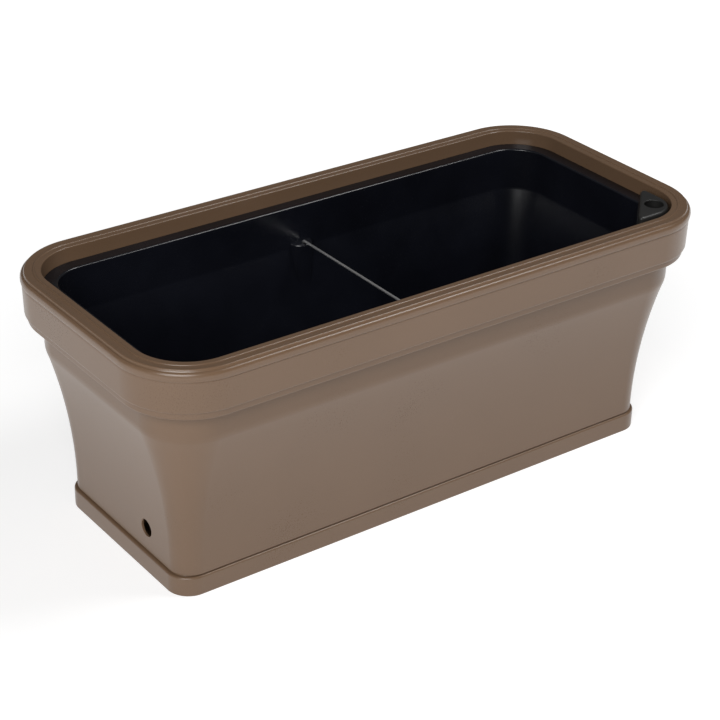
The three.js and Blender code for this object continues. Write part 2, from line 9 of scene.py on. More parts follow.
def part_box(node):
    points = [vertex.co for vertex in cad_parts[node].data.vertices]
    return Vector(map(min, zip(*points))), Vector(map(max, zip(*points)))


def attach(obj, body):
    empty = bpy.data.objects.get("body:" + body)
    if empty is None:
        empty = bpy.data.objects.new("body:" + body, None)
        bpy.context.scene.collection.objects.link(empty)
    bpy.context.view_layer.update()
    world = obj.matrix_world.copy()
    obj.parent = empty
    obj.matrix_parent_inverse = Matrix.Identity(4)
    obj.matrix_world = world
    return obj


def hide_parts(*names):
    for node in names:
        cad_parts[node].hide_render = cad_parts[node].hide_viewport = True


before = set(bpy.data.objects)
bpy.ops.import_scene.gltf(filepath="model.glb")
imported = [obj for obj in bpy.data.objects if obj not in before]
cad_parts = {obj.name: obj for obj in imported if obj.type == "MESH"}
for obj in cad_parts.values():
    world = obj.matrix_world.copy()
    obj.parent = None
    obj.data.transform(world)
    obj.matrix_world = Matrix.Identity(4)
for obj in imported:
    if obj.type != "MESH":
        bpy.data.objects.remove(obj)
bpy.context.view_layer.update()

# ---------------------------------------------------------------- camera
# A long lens at standing height, to the left of the planter's front long side. It looks down into
# the liner, so that the rim, the front side and the left end all show.
CAMERA_PLACE = Vector((-1.2310, -1.6474, 1.2593))
CAMERA_AZIMUTH = math.radians(-36.575)
CAMERA_ELEVATION = math.radians(28.631)
CAMERA_ROLL = math.radians(1.1875)
CAMERA_LENS = 100.2


def aim(azimuth, elevation, roll):
    """The camera's turn, from where it stands round the object and how it is tipped."""
    level = math.cos(elevation)
    back = Vector((math.sin(azimuth) * level, -math.cos(azimuth) * level, math.sin(elevation)))
    side = Vector((0, 0, 1)).cross(back).normalized()
    up = back.cross(side)
    right = math.cos(roll) * side + math.sin(roll) * up
    top = -math.sin(roll) * side + math.cos(roll) * up
    return Matrix((right, top, back)).transposed().to_4x4()


camera = bpy.data.objects.new("camera", bpy.data.cameras.new("camera"))
camera.data.lens = CAMERA_LENS
camera.data.sensor_width = 36
camera.matrix_world = Matrix.Translation(CAMERA_PLACE) @ aim(CAMERA_AZIMUTH, CAMERA_ELEVATION, CAMERA_ROLL)
bpy.context.scene.collection.objects.link(camera)
bpy.context.scene.camera = camera

# ---------------------------------------------------------------- studio
# A white paper sweep under and round the planter, which glows as painted light: dimmer near the
# planter and brighter further out, so that the far paper stays white and the glow lights the planter
# from below. The key softbox hangs by the camera's left shoulder, a low one fills the left end, and a
# small bright one over the right end draws the edges.
FLOOR_SIZE = 30
FLOOR_GLOW = (0.62, 1.0)
FLOOR_FADE = (0.5, 1.5)
PAPER = ((0.54, 0.54, 0.54), (0.58, 0.58, 0.58))
WORLD_LIGHT = 0.10
WHITE = (1, 1, 1, 1)


class Value:
    """One output of a shader node. Arithmetic on it adds Math nodes."""

    def __init__(self, finish, socket):
        self.finish, self.socket = finish, socket

    def maths(self, operation, first, second):
        return self.finish.node("Math", {"operation": operation}, {0: first, 1: second})

    def __add__(self, other):
        return self.maths("ADD", self, other)

    def __mul__(self, other):
        return self.maths("MULTIPLY", self, other)

    __radd__ = __add__
    __rmul__ = __mul__


class Finish:
    """A material: its principled shader, and the nodes that are fed into it."""

    def __init__(self, name, **constants):
        self.material = bpy.data.materials.new(name)
        self.material.use_nodes = True
        self.tree = self.material.node_tree
        self.shader = self.tree.nodes["Principled BSDF"]
        for socket, value in constants.items():
            self.shader.inputs[socket.replace("_", " ")].default_value = value
        self.place = self.node("TexCoord", output="Object")

    def node(self, kind, settings=None, inputs=None, output=0):
        """A node of that kind, with its settings made first and then its sockets set or linked."""
        made = self.tree.nodes.new("ShaderNode" + kind)
        for key, value in (settings or {}).items():
            setattr(made, key, value)
        for key, value in (inputs or {}).items():
            self.connect(value, made.inputs[key])
        return Value(self, made.outputs[output])

    def connect(self, value, socket):
        if isinstance(value, Value):
            self.tree.links.new(value.socket, socket)
        else:
            socket.default_value = value

    def feed(self, socket, value):
        self.connect(value, self.shader.inputs[socket])

    def noise(self, scale, detail=2.0, stretch=(1, 1, 1)):
        place = self.node("Mapping", inputs={"Vector": self.place, "Scale": stretch})
        return self.node("TexNoise", inputs={"Vector": place, "Scale": scale, "Detail": detail})

    def window(self, value, low, high):
        """0 below low, 1 above high, and a straight rise between."""
        sockets = {"Value": value, "From Min": low, "From Max": high}
        return self.node("MapRange", {"clamp": True}, sockets)

    def blend(self, share, first, second):
        """A colour between two others, each a (red, green, blue) or another Value."""
        ends = [end if isinstance(end, Value) else (*end, 1) for end in (first, second)]
        return self.node("Mix", {"data_type": "RGBA"}, {0: share, 6: ends[0], 7: ends[1]}, output=2)

    def relief(self, *layers):
        """Bumps of (height, strength, depth in metres), each on top of the last."""
        normal = None
        for height, strength, depth in layers:
            sockets = {"Height": height, "Strength": strength, "Distance": depth}
            if normal:
                sockets["Normal"] = normal
            normal = self.node("Bump", inputs=sockets)
        self.feed("Normal", normal)


def softbox(name, place, target, width, height, radiance):
    light = bpy.data.lights.new(name, "AREA")
    light.shape = "RECTANGLE"
    light.size, light.size_y = width, height
    light.energy = radiance * math.pi * width * height
    box = bpy.data.objects.new(name, light)
    box.location = place
    box.rotation_euler = (Vector(target) - Vector(place)).to_track_quat("-Z", "Y").to_euler()
    bpy.context.scene.collection.objects.link(box)


def sweep():
    bm = bmesh.new()
    bmesh.ops.create_grid(bm, x_segments=1, y_segments=1, size=FLOOR_SIZE / 2)
    mesh = bpy.data.meshes.new("floor")
    bm.to_mesh(mesh)
    bm.free()
    floor = bpy.data.objects.new("floor", mesh)
    bpy.context.scene.collection.objects.link(floor)
    paper = Finish("glowing_white_paper", Roughness=0.9, Specular_IOR_Level=0.1, Emission_Strength=1.0)
    paper.feed("Base Color", paper.blend(paper.noise(3.0), *PAPER))
    distance = paper.node("VectorMath", {"operation": "LENGTH"}, {0: paper.place}, output="Value")
    near, far = ((glow, glow, glow) for glow in FLOOR_GLOW)
    # Painted light: the paper glows, dimmer within FLOOR_FADE of the planter and at full glow further out.
    paper.feed("Emission Color", paper.blend(paper.window(distance, *FLOOR_FADE), near, far))
    mesh.materials.append(paper.material)


world = bpy.data.worlds.new("studio")
world.use_nodes = True
world.node_tree.nodes["Background"].inputs["Color"].default_value = WHITE
world.node_tree.nodes["Background"].inputs["Strength"].default_value = WORLD_LIGHT
bpy.context.scene.world = world
bpy.context.scene.view_settings.view_transform = "Standard"
sweep()
softbox("key_softbox", place=(-1.8, -1.5, 1.65), target=(0, 0, 0.2), width=1.6, height=1.2, radiance=8.6)
softbox("left_softbox", place=(-3.0, 0.2, 0.5), target=(0, 0, 0.12), width=2.4, height=0.8, radiance=0.5)
softbox("edge_softbox", place=(1.25, -0.8, 2.2), target=(0, 0, 0.2), width=1.0, height=0.6, radiance=15.0)

# ---------------------------------------------------------------- outer shell
# One injection moulding in taupe polypropylene: a plinth, flared walls, a straight neck, and a rim
# with a ridge and a bead, whose skirt hangs clear of the neck, with ribs behind it. The mould's face
# is satin, with a fine grain. Sizes are in millimetres, and insets run in from the outermost line.
MM = 0.001
Ring = namedtuple("Ring", "x y radius z")
shell_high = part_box("outer_shell")[1]
HALF_X = shell_high.x / MM
HALF_Y = shell_high.y / MM
HEIGHT = shell_high.z / MM
RIM_CORNER = 84
CORNER_STEPS = 20
SIDE_CUTS = 9
SHELL_WALL = 3.2
OVERLAP = 1
ROUND_SIDES = 64
PLINTH_INSET = (47.1, 50.8)
PLINTH_CORNER = 27.4
PLINTH_HEIGHT = 23.7
PLINTH_EDGE = 2.6
GROOVE_DEPTH = 1.2
GROOVE_HEIGHT = 1.8
FOOT_WIDTH = 9
FOOT_HEIGHT = 6
FOOT_EDGE = 1.2
SMALL_BREAK = 0.4
FLOOR_TOP = FOOT_HEIGHT + SHELL_WALL
FLOOR_FILLET = 8
BASE_INSET = 50.6
BASE_CORNER = 27
BASE_NARROWING = 1.7
FLARE_START = 30
FLARE_RADIUS = 575
NECK_INSET = 22
NECK_START = 213.5
NECK_BLEND = 10
NECK_BLEND_RADIUS = 32
SKIRT_BOTTOM = 243
SKIRT_STEP = 5.6
SKIRT_EDGE = 1.8
SKIRT_BREAK = 0.5
STEP_FILLET = 0.8
BAND = ((2.3, 254), (1.4, 288.2))
BAND_FOOT = 4.4
BAND_ROUND = 2.6
BAND_CHAMFER = 2.2
BAND_LOOPS = (0.5, 0.97, 1)
BEAD_GROOVE = 1.9
GROOVE_BREAK = (0.15, 0.25)
BEAD = (3.8, 293, 3.8, 6.2)
SHOULDER = (6, 302, 1.6)
VALLEY_START = (8.3, 301.55)
VALLEY = (10.6, 301.3)
CREST_INSET = 15.3
CREST_RADIUS = 1.6
CREST_ARC = (158, 22)
CREST_FOOT = 0.5
STRIP_RISE = 0.05
LIP_INSET = 23.4
LIP_RADIUS = 1.4
LIP_Z = 301.3
LIP_LOOP = 10
LEDGE_Z = 280.5
CHANNEL_TOP = 297.2
CHANNEL_CORNER = 4
RIB = 2.4
RIM_RIBS_X = (-290, -180, -60, 60, 180, 290)
RIM_RIBS_Y = (-46, 46)
RIM_RIB_FOOT = 251
RIM_RIB_TOE = (5, 8)
RIM_RIB_HEEL = 10
BRACKETS_X = (-232, -116, 116, 232)
BRACKETS_Y = (-58, 58)
BRACKET_REACH = 38
BRACKET_HEIGHT = 26
BRACKET_LIP = 3
FLOOR_RIBS_X = (-240, -120, 0, 120, 240)
FLOOR_RIBS_Y = (-62, 62)
OVERFLOW = (-52, 54, 10.2)
OVERFLOW_CHAMFER = 0.5
DRAIN_RADIUS = 10
DRAIN_RING = 6
DRAIN_CHAMFER = 0.4
LONG_EDGE = 60
SHARP = math.radians(32)
TAUPE = ((0.138, 0.083, 0.048), (0.149, 0.090, 0.053))
TAUPE_SPECK = (0.24, 0.17, 0.12)


def arc(centre_in, centre_z, radius_in, radius_z, start, end, steps):
    """Points of (inset, height) along part of an ellipse, from one angle to another in degrees."""
    turns = [math.radians(start + (end - start) * step / steps) for step in range(steps + 1)]
    return [(centre_in + radius_in * math.cos(t), centre_z + radius_z * math.sin(t)) for t in turns]


def levels(start, end, steps):
    return [start + (end - start) * step / steps for step in range(steps + 1)]


def rim_ring(inset, z):
    return Ring(HALF_X - inset, HALF_Y - inset, RIM_CORNER - inset, z)


def plinth_ring(shrink, z):
    x = HALF_X - PLINTH_INSET[0] - shrink
    y = HALF_Y - PLINTH_INSET[1] - shrink
    return Ring(x, y, PLINTH_CORNER - shrink, z)


def wall_inset(z):
    drop = NECK_START - z
    if drop <= 0:
        return NECK_INSET
    if drop <= NECK_BLEND:
        return NECK_INSET + NECK_BLEND_RADIUS - math.sqrt(NECK_BLEND_RADIUS**2 - drop**2)
    return BASE_INSET - FLARE_RADIUS + math.sqrt(FLARE_RADIUS**2 - (z - FLARE_START) ** 2)


def wall_ring(z, depth):
    inset = wall_inset(z)
    share = (inset - NECK_INSET) / (BASE_INSET - NECK_INSET)
    corner = (RIM_CORNER - NECK_INSET) * (1 - share) + BASE_CORNER * share
    y = HALF_Y - inset - share * BASE_NARROWING - depth
    return Ring(HALF_X - inset - depth, y, corner - depth, z)


def loft(bm, rings):
    """A closed skin through the rings: a bevelled rectangle is extruded from each ring to the next."""
    first = rings[0]
    corners = bmesh.ops.create_grid(bm, x_segments=1, y_segments=1, size=1)["verts"]
    bmesh.ops.scale(bm, vec=(first.x, first.y, 1), verts=corners)
    bmesh.ops.translate(bm, vec=(0, 0, first.z), verts=corners)
    bevel(bm, corners, "VERTICES", first.radius, CORNER_STEPS)
    edges = list(bm.edges)
    for old, new in zip(rings, rings[1:]):
        made = bmesh.ops.extrude_edge_only(bm, edges=edges)["geom"]
        verts = [part for part in made if isinstance(part, bmesh.types.BMVert)]
        edges = [part for part in made if isinstance(part, bmesh.types.BMEdge)]
        edges = [edge for edge in edges if all(end in verts for end in edge.verts)]
        move_corners(bm, set(verts), old, new)
    bmesh.ops.contextual_create(bm, geom=edges)
    long_edges = [edge for edge in bm.edges if runs_straight(edge)]
    bmesh.ops.subdivide_edges(bm, edges=long_edges, cuts=SIDE_CUTS, use_grid_fill=True)
    bmesh.ops.recalc_face_normals(bm, faces=bm.faces)


def bevel(bm, parts, affect, offset, segments, clamp=False):
    bmesh.ops.bevel(
        bm,
        geom=parts,
        affect=affect,
        offset=offset,
        segments=segments,
        profile=0.5,
        material=-1,
        clamp_overlap=clamp,
    )


def move_corners(bm, verts, old, new):
    """Takes each corner's arc from its place on the old ring to its place on the new one."""
    for side_x in (-1, 1):
        for side_y in (-1, 1):
            group = [v for v in verts if v.co.x * side_x > 0 and v.co.y * side_y > 0]
            start = Vector((side_x * (old.x - old.radius), side_y * (old.y - old.radius), old.z))
            end = Vector((side_x * (new.x - new.radius), side_y * (new.y - new.radius), new.z))
            size = new.radius / old.radius
            bmesh.ops.scale(bm, vec=(size, size, 1), space=Matrix.Translation(-start), verts=group)
            bmesh.ops.translate(bm, vec=end - start, verts=group)


def runs_straight(edge):
    """True for the long level edges between two corners."""
    run = edge.verts[1].co - edge.verts[0].co
    return abs(run.z) < 1e-3 and run.length > LONG_EDGE


def shell_rings():
    edge = arc(0, PLINTH_HEIGHT - PLINTH_EDGE, PLINTH_EDGE, PLINTH_EDGE, 0, 90, 6)
    foot = arc(0, 0, FOOT_EDGE, FOOT_EDGE, 0, 90, 3)
    groove = HALF_X - PLINTH_INSET[0] - wall_ring(FLARE_START, 0).x + GROOVE_DEPTH
    start = PLINTH_HEIGHT + GROOVE_HEIGHT
    blend = NECK_START - NECK_BLEND
    fillet_top = FLOOR_TOP + FLOOR_FILLET
    fillet = arc(0, fillet_top, FLOOR_FILLET, FLOOR_FILLET, 0, -90, 6)[1:]
    return [
        plinth_ring(FOOT_WIDTH, FOOT_HEIGHT),
        plinth_ring(FOOT_WIDTH, SMALL_BREAK),
        plinth_ring(FOOT_WIDTH - SMALL_BREAK, 0),
        *[plinth_ring(FOOT_EDGE - out, FOOT_EDGE - height) for height, out in foot],
        *[plinth_ring(PLINTH_EDGE - out, z) for out, z in edge],
        plinth_ring(groove - SMALL_BREAK, PLINTH_HEIGHT),
        plinth_ring(groove, PLINTH_HEIGHT + SMALL_BREAK),
        plinth_ring(groove, PLINTH_HEIGHT + GROOVE_HEIGHT / 2),
        *[wall_ring(z, 0) for z in levels(start, blend, 26)],
        *[wall_ring(z, 0) for z in levels(blend, NECK_START, 6)[1:]],
        *[rim_ring(inset, z) for inset, z in rim_profile()],
        *[wall_ring(z, SHELL_WALL) for z in levels(NECK_START, blend, 4)],
        *[wall_ring(z, SHELL_WALL) for z in levels(blend, fillet_top, 14)[1:]],
        *[wall_ring(fillet_top, SHELL_WALL + FLOOR_FILLET - out)._replace(z=z) for out, z in fillet],
    ]


def rim_profile():
    """Points of (inset, height): up the channel, down the skirt, up the band, over to the ledge."""
    (band_low, band_low_z), (band_high, band_high_z) = BAND
    skirt_inside = band_low + SHELL_WALL
    step_inside = SKIRT_STEP + SHELL_WALL
    step_z = band_low_z - BAND_FOOT
    channel_edge = CHANNEL_TOP - CHANNEL_CORNER
    run = band_high - band_low
    rise = band_high_z - BAND_CHAMFER - band_low_z
    shoulder, shoulder_z, shoulder_radius = SHOULDER
    shoulder_centre = (shoulder, shoulder_z - shoulder_radius)
    return [
        *arc(NECK_INSET - CHANNEL_CORNER, channel_edge, CHANNEL_CORNER, CHANNEL_CORNER, 0, 90, 4),
        *arc(skirt_inside + CHANNEL_CORNER, channel_edge, CHANNEL_CORNER, CHANNEL_CORNER, 90, 180, 4),
        (skirt_inside, band_low_z + BAND_FOOT),
        (step_inside, band_low_z - SKIRT_EDGE),
        (step_inside, SKIRT_BOTTOM + SKIRT_BREAK),
        (step_inside - SKIRT_BREAK, SKIRT_BOTTOM),
        *arc(SKIRT_STEP + SKIRT_EDGE, SKIRT_BOTTOM + SKIRT_EDGE, SKIRT_EDGE, SKIRT_EDGE, 270, 180, 6),
        (SKIRT_STEP, step_z),
        *arc(SKIRT_STEP - STEP_FILLET, step_z + STEP_FILLET, STEP_FILLET, STEP_FILLET, 0, 90, 3),
        *arc(band_low + BAND_ROUND, band_low_z, BAND_ROUND, BAND_ROUND, 250, 180, 8),
        *[(band_low + run * share, band_low_z + rise * share) for share in BAND_LOOPS],
        (BEAD_GROOVE - GROOVE_BREAK[0], band_high_z - GROOVE_BREAK[1]),
        (BEAD_GROOVE, band_high_z),
        *arc(*BEAD, 222, 92, 16),
        *arc(*shoulder_centre, shoulder_radius, shoulder_radius, 180, 90, 6),
        VALLEY_START,
        VALLEY,
        (CREST_INSET - CREST_RADIUS - CREST_FOOT, VALLEY[1]),
        *arc(CREST_INSET, HEIGHT - CREST_RADIUS, CREST_RADIUS, CREST_RADIUS, *CREST_ARC, 10),
        (CREST_INSET + CREST_RADIUS + CREST_FOOT, LIP_Z + STRIP_RISE),
        *arc(LIP_INSET - LIP_RADIUS, LIP_Z - LIP_RADIUS, LIP_RADIUS, LIP_RADIUS, 90, 0, 6),
        (LIP_INSET, LEDGE_Z + LIP_LOOP),
        (LIP_INSET, LEDGE_Z),
        (NECK_INSET + SHELL_WALL, LEDGE_Z),
    ]


def slab(bm, points, thickness, turn, place):
    """One rib: a flat outline of (u, z) points, given its thickness, turned about Z and put in place."""
    verts = [bm.verts.new((u, 0, z)) for u, z in points]
    face = bm.faces.new(verts)
    made = bmesh.ops.extrude_face_region(bm, geom=[face])["geom"]
    moved = [part for part in made if isinstance(part, bmesh.types.BMVert)]
    bmesh.ops.translate(bm, vec=(0, thickness, 0), verts=moved)
    every = verts + moved
    bmesh.ops.translate(bm, vec=(0, -thickness / 2, 0), verts=every)
    bmesh.ops.rotate(bm, matrix=Matrix.Rotation(turn, 3, "Z"), verts=every)
    bmesh.ops.translate(bm, vec=place, verts=every)


def across_the_walls(bm, points, list_x, list_y):
    """Stands one rib outline, in (inset, z), across the long walls at each X and the ends at each Y."""
    for turn in (0, math.pi):
        for y in list_y:
            outline = [(HALF_X - inset, z) for inset, z in points]
            slab(bm, outline, RIB, turn, (0, y, 0))
        for x in list_x:
            outline = [(HALF_Y - inset, z) for inset, z in points]
            slab(bm, outline, RIB, turn + math.pi / 2, (x, 0, 0))


def shell_ribs(bm):
    skirt = BAND[0][0] + SHELL_WALL - OVERLAP
    neck = NECK_INSET + OVERLAP
    wall = NECK_INSET + SHELL_WALL - OVERLAP
    rim_rib = [
        (neck, RIM_RIB_FOOT),
        (neck, CHANNEL_TOP + OVERLAP),
        (skirt, CHANNEL_TOP + OVERLAP),
        (skirt, BAND[0][1] + RIM_RIB_HEEL),
        (skirt + RIM_RIB_TOE[0], BAND[0][1] + RIM_RIB_TOE[1]),
    ]
    bracket = [
        (wall, LEDGE_Z),
        (BRACKET_REACH, LEDGE_Z),
        (BRACKET_REACH, LEDGE_Z - BRACKET_LIP),
        (wall, LEDGE_Z - BRACKET_HEIGHT),
    ]
    across_the_walls(bm, rim_rib, RIM_RIBS_X, RIM_RIBS_Y)
    across_the_walls(bm, bracket, BRACKETS_X, BRACKETS_Y)
    bmesh.ops.recalc_face_normals(bm, faces=bm.faces)


def block(bm, size, place, turn=0.0):
    matrix = Matrix.Translation(place) @ Matrix.Rotation(turn, 4, "Z") @ Matrix.Diagonal((*size, 1))
    return bmesh.ops.create_cube(bm, size=1, matrix=matrix)["verts"]


def floor_ribs_long(bm):
    length = 2 * (HALF_X - PLINTH_INSET[0] - FOOT_WIDTH + OVERLAP)
    for y in FLOOR_RIBS_Y:
        block(bm, (length, RIB, FOOT_HEIGHT), (0, y, OVERLAP + FOOT_HEIGHT / 2))


def floor_ribs_short(bm):
    length = 2 * (HALF_Y - PLINTH_INSET[1] - FOOT_WIDTH + OVERLAP)
    for x in FLOOR_RIBS_X:
        block(bm, (RIB, length, FOOT_HEIGHT), (x, 0, OVERLAP + FOOT_HEIGHT / 2))


def drain_ring(bm):
    outside = DRAIN_RADIUS + DRAIN_RING
    tube(bm, outside, outside, OVERLAP, FOOT_HEIGHT + OVERLAP, 0, 0)


def tube(bm, low_radius, high_radius, low, high, x, y, segments=ROUND_SIDES):
    """An upright cylinder or cone between two heights."""
    return bmesh.ops.create_cone(
        bm,
        cap_ends=True,
        segments=segments,
        radius1=low_radius,
        radius2=high_radius,
        depth=high - low,
        matrix=Matrix.Translation((x, y, (low + high) / 2)),
    )["verts"]


def chamfered_bore(bm, radius, start, end, chamfer):
    """A cutter on the Z axis for a hole with two broken edges, from one face's height to the other's."""
    mouth = radius + chamfer + OVERLAP
    turned(bm, [
        (0, start - OVERLAP),
        (mouth, start - OVERLAP),
        (radius, start + chamfer),
        (radius, end - chamfer),
        (mouth, end + OVERLAP),
        (0, end + OVERLAP),
    ], ROUND_SIDES)


def turned(bm, profile, steps):
    """Spins a profile of (radius, z) points, which starts and ends on the axis, into a solid."""
    verts = [bm.verts.new((radius, 0, z)) for radius, z in profile]
    edges = [bm.edges.new(pair) for pair in zip(verts, verts[1:])]
    bmesh.ops.spin(
        bm, geom=verts + edges, cent=(0, 0, 0), axis=(0, 0, 1), angle=math.tau, steps=steps, use_merge=True
    )
    bmesh.ops.remove_doubles(bm, verts=bm.verts, dist=1e-4)
    bmesh.ops.recalc_face_normals(bm, faces=bm.faces)


def overflow_cutter(bm):
    y, z, radius = OVERFLOW
    outside = -wall_ring(z, 0).x
    chamfered_bore(bm, radius, 0, SHELL_WALL, OVERFLOW_CHAMFER)
    bmesh.ops.rotate(bm, matrix=Matrix.Rotation(math.pi / 2, 3, "Y"), verts=bm.verts)
    bmesh.ops.translate(bm, vec=(outside, y, z), verts=bm.verts)


def drain_cutter(bm):
    chamfered_bore(bm, DRAIN_RADIUS, OVERLAP, FLOOR_TOP, DRAIN_CHAMFER)


def new_mesh(name, build, *arguments):
    """An object in millimetres that a boolean can use, from a function that fills a bmesh."""
    bm = bmesh.new()
    build(bm, *arguments)
    mesh = bpy.data.meshes.new(name)
    bm.to_mesh(mesh)
    bm.free()
    made = bpy.data.objects.new(name, mesh)
    bpy.context.scene.collection.objects.link(made)
    return made


def carve(piece, operation, build, *arguments):
    """Joins or cuts the piece with what build makes, and keeps the result as its mesh."""
    tool = new_mesh("tool", build, *arguments)
    change = piece.modifiers.new("carve", "BOOLEAN")
    change.operation, change.object, change.solver = operation, tool, "EXACT"
    bpy.context.view_layer.update()
    graph = bpy.context.evaluated_depsgraph_get()
    result = bpy.data.meshes.new_from_object(piece.evaluated_get(graph))
    piece.modifiers.clear()
    old = piece.data
    piece.data = result
    bpy.data.meshes.remove(old)
    bpy.data.objects.remove(tool)


def complete(piece, finish, body, slot, *nodes):
    """Takes a piece to metres, shades its curves smooth and its edges sharp, and puts it on its body."""
    bm = bmesh.new()
    bm.from_mesh(piece.data)
    bmesh.ops.remove_doubles(bm, verts=bm.verts, dist=2e-3)
    bmesh.ops.scale(bm, vec=(MM, MM, MM), verts=bm.verts)
    for face in bm.faces:
        face.smooth = True
        face.material_index = 0
    for edge in bm.edges:
        edge.smooth = len(edge.link_faces) == 2 and edge.calc_face_angle() < SHARP
    bm.to_mesh(piece.data)
    bm.free()
    piece.data.materials.clear()
    piece.data.materials.append(finish)
    weighted = piece.modifiers.new("even_normals", "WEIGHTED_NORMAL")
    weighted.keep_sharp = True
    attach(piece, body)
    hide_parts(*nodes)


def taupe_plastic():
    finish = Finish("taupe_plastic", IOR=1.49)
    clouds = finish.noise(7.0, 3.0)
    fine = finish.noise(900.0, 2.0)
    grain = finish.noise(2800.0, 1.0)
    ripple = finish.noise(26.0, 1.0)
    tone = finish.blend(finish.window(clouds, 0.3, 0.7), *TAUPE)
    finish.feed("Base Color", finish.blend(finish.window(fine, 0.60, 0.85) * 0.25, tone, TAUPE_SPECK))
    finish.feed("Roughness", 0.23 + clouds * 0.06 + fine * 0.06)
    finish.relief((ripple, 0.06, 0.0010), (fine, 0.10, 0.0002), (grain, 0.12, 0.0001))
    return finish.material


def make_shell():
    shell = new_mesh("planter_shell", loft, shell_rings())
    carve(shell, "UNION", shell_ribs)
    carve(shell, "UNION", floor_ribs_long)
    carve(shell, "UNION", floor_ribs_short)
    carve(shell, "UNION", drain_ring)
    carve(shell, "DIFFERENCE", overflow_cutter)
    carve(shell, "DIFFERENCE", drain_cutter)
    complete(shell, taupe_plastic(), "shell", "shell_plastic", "outer_shell")


make_shell()

# ---------------------------------------------------------------- liner
# A thin black moulding that hangs in the shell by its flange and stands on four hollow posts. Its
# walls drop straight to a crease and then curve in. A half-round column in each long wall holds
# the tie rod, and one corner is cut off to leave a shaft down which water reaches the reservoir.
GAP = 0.3
LINER_WALL = 2.4
FLANGE = (LEDGE_Z + GAP, LEDGE_Z + GAP + 3)
FLANGE_INSET = LIP_INSET + 0.4
FLANGE_EDGE = 0.5
MOUTH_INSET = 41
MOUTH_EDGE = 2
CREASE = (42, 231)
CREASE_EASE = (0.06, -0.05)
CREASE_TURN = 2
LINER_FOOT = (66, 50)
LINER_FLOOR = (61.4, 64)
LINER_FILLET = 14
LINER_CORNER_LOSS = 0.7
COLUMN = (15, 137, 140, 238.4)
COLUMN_EDGE = 3
COLUMN_SIDES = 72
SOCKET = (130, 2.5)
SOCKET_SIDES = 32
POST = (17, 13)
POSTS_X = (-167, 167)
POSTS_Y = (-64, 64)
SLOT = (24, 4)
SLOT_COUNT = 11
SLOT_PITCH = 52
SLOT_Y = 91
SLOT_END = 1.95
CHORD = 421
SHAFT_DRAFT = math.radians(6)
PORT_HOLE = (325.4, -121.4)
PORT_SPIGOT = 13.8
CUPS_X = (-248, -86, 86, 248)
CUP_TOP = 43
CUP_SIDES = 96
HOLE_GAP = 0.5
CUTTER_SIZE = 600
CUTTER_RISE = 4
LINER_BLACK = (0.0034, 0.0038, 0.0060)


def liner_inset(z):
    rise = CREASE[1] - LINER_FOOT[1]
    sag = LINER_FOOT[0] - CREASE[0]
    radius = (rise**2 + sag**2) / (2 * sag)
    return LINER_FOOT[0] - radius + math.sqrt(radius**2 - (z - LINER_FOOT[1]) ** 2)


def liner_ring(inset, z):
    corner = RIM_CORNER - MOUTH_INSET - (inset - MOUTH_INSET) * LINER_CORNER_LOSS
    return Ring(HALF_X - inset, HALF_Y - inset, corner, z)


def liner_outside():
    low = LINER_FLOOR[0] + LINER_FILLET
    fillet = arc(0, low, LINER_FILLET, LINER_FILLET, -90, 0, 8)[:-1]
    return [
        *[liner_ring(liner_inset(z) - LINER_WALL + LINER_FILLET - out, z) for out, z in fillet],
        *[liner_ring(liner_inset(z) - LINER_WALL, z) for z in levels(low, CREASE[1], 18)],
        liner_ring(MOUTH_INSET - LINER_WALL, FLANGE[0]),
        rim_ring(FLANGE_INSET + SMALL_BREAK, FLANGE[0]),
        rim_ring(FLANGE_INSET, FLANGE[0] + SMALL_BREAK),
        rim_ring(FLANGE_INSET, FLANGE[1] - FLANGE_EDGE),
        rim_ring(FLANGE_INSET + FLANGE_EDGE, FLANGE[1]),
    ]


def liner_inside():
    low = LINER_FLOOR[1] + LINER_FILLET
    fillet = arc(0, low, LINER_FILLET, LINER_FILLET, -90, 0, 8)[:-1]
    edge = arc(MOUTH_INSET - MOUTH_EDGE, FLANGE[1] - MOUTH_EDGE, MOUTH_EDGE, MOUTH_EDGE, 0, 90, 8)
    wall = levels(low, CREASE[1] - CREASE_TURN, 18)
    return [
        *[liner_ring(liner_inset(z) + LINER_FILLET - out, z) for out, z in fillet],
        *[liner_ring(liner_inset(z), z) for z in wall],
        liner_ring(CREASE[0] + CREASE_EASE[0], CREASE[1]),
        liner_ring(CREASE[0] + CREASE_EASE[1], CREASE[1] + CREASE_TURN),
        *[liner_ring(inset, z) for inset, z in edge],
        liner_ring(MOUTH_INSET - MOUTH_EDGE, FLANGE[1] + 2 * OVERLAP),
    ]


def corner_block(bm, chord, top):
    """Everything beyond a leaning plane that cuts off the right front corner, up to one height."""
    turn = Matrix.Rotation(-math.pi / 4, 4, "Z") @ Matrix.Rotation(SHAFT_DRAFT, 4, "Y")
    hinge = Matrix.Translation((chord / 2, -chord / 2, FLANGE[0]))
    beyond = Matrix.Translation((CUTTER_SIZE / 2, 0, 0))
    bmesh.ops.create_cube(bm, size=CUTTER_SIZE, matrix=hinge @ turn @ beyond)
    parts = [*bm.verts, *bm.edges, *bm.faces]
    bmesh.ops.bisect_plane(bm, geom=parts, plane_co=(0, 0, top), plane_no=(0, 0, 1), clear_outer=True)
    open_edges = [edge for edge in bm.edges if edge.is_boundary]
    bmesh.ops.contextual_create(bm, geom=open_edges)
    bmesh.ops.recalc_face_normals(bm, faces=bm.faces)


def column(bm, shrink, top, round_edge):
    radius, y, low, _ = COLUMN
    for side in (-1, 1):
        verts = tube(bm, radius - shrink, radius - shrink, low, top, 0, side * y, COLUMN_SIDES)
        if round_edge:
            edges = {edge for vert in verts for edge in vert.link_edges}
            rim = [edge for edge in edges if lowest(edge) > top - OVERLAP]
            bevel(bm, rim, "EDGES", round_edge, 5)


def lowest(edge):
    return min(vert.co.z for vert in edge.verts)


def posts(bm, shrink, low, high):
    for x in POSTS_X:
        for y in POSTS_Y:
            tube(bm, POST[1] - shrink, POST[0] - shrink, low, high, x, y)


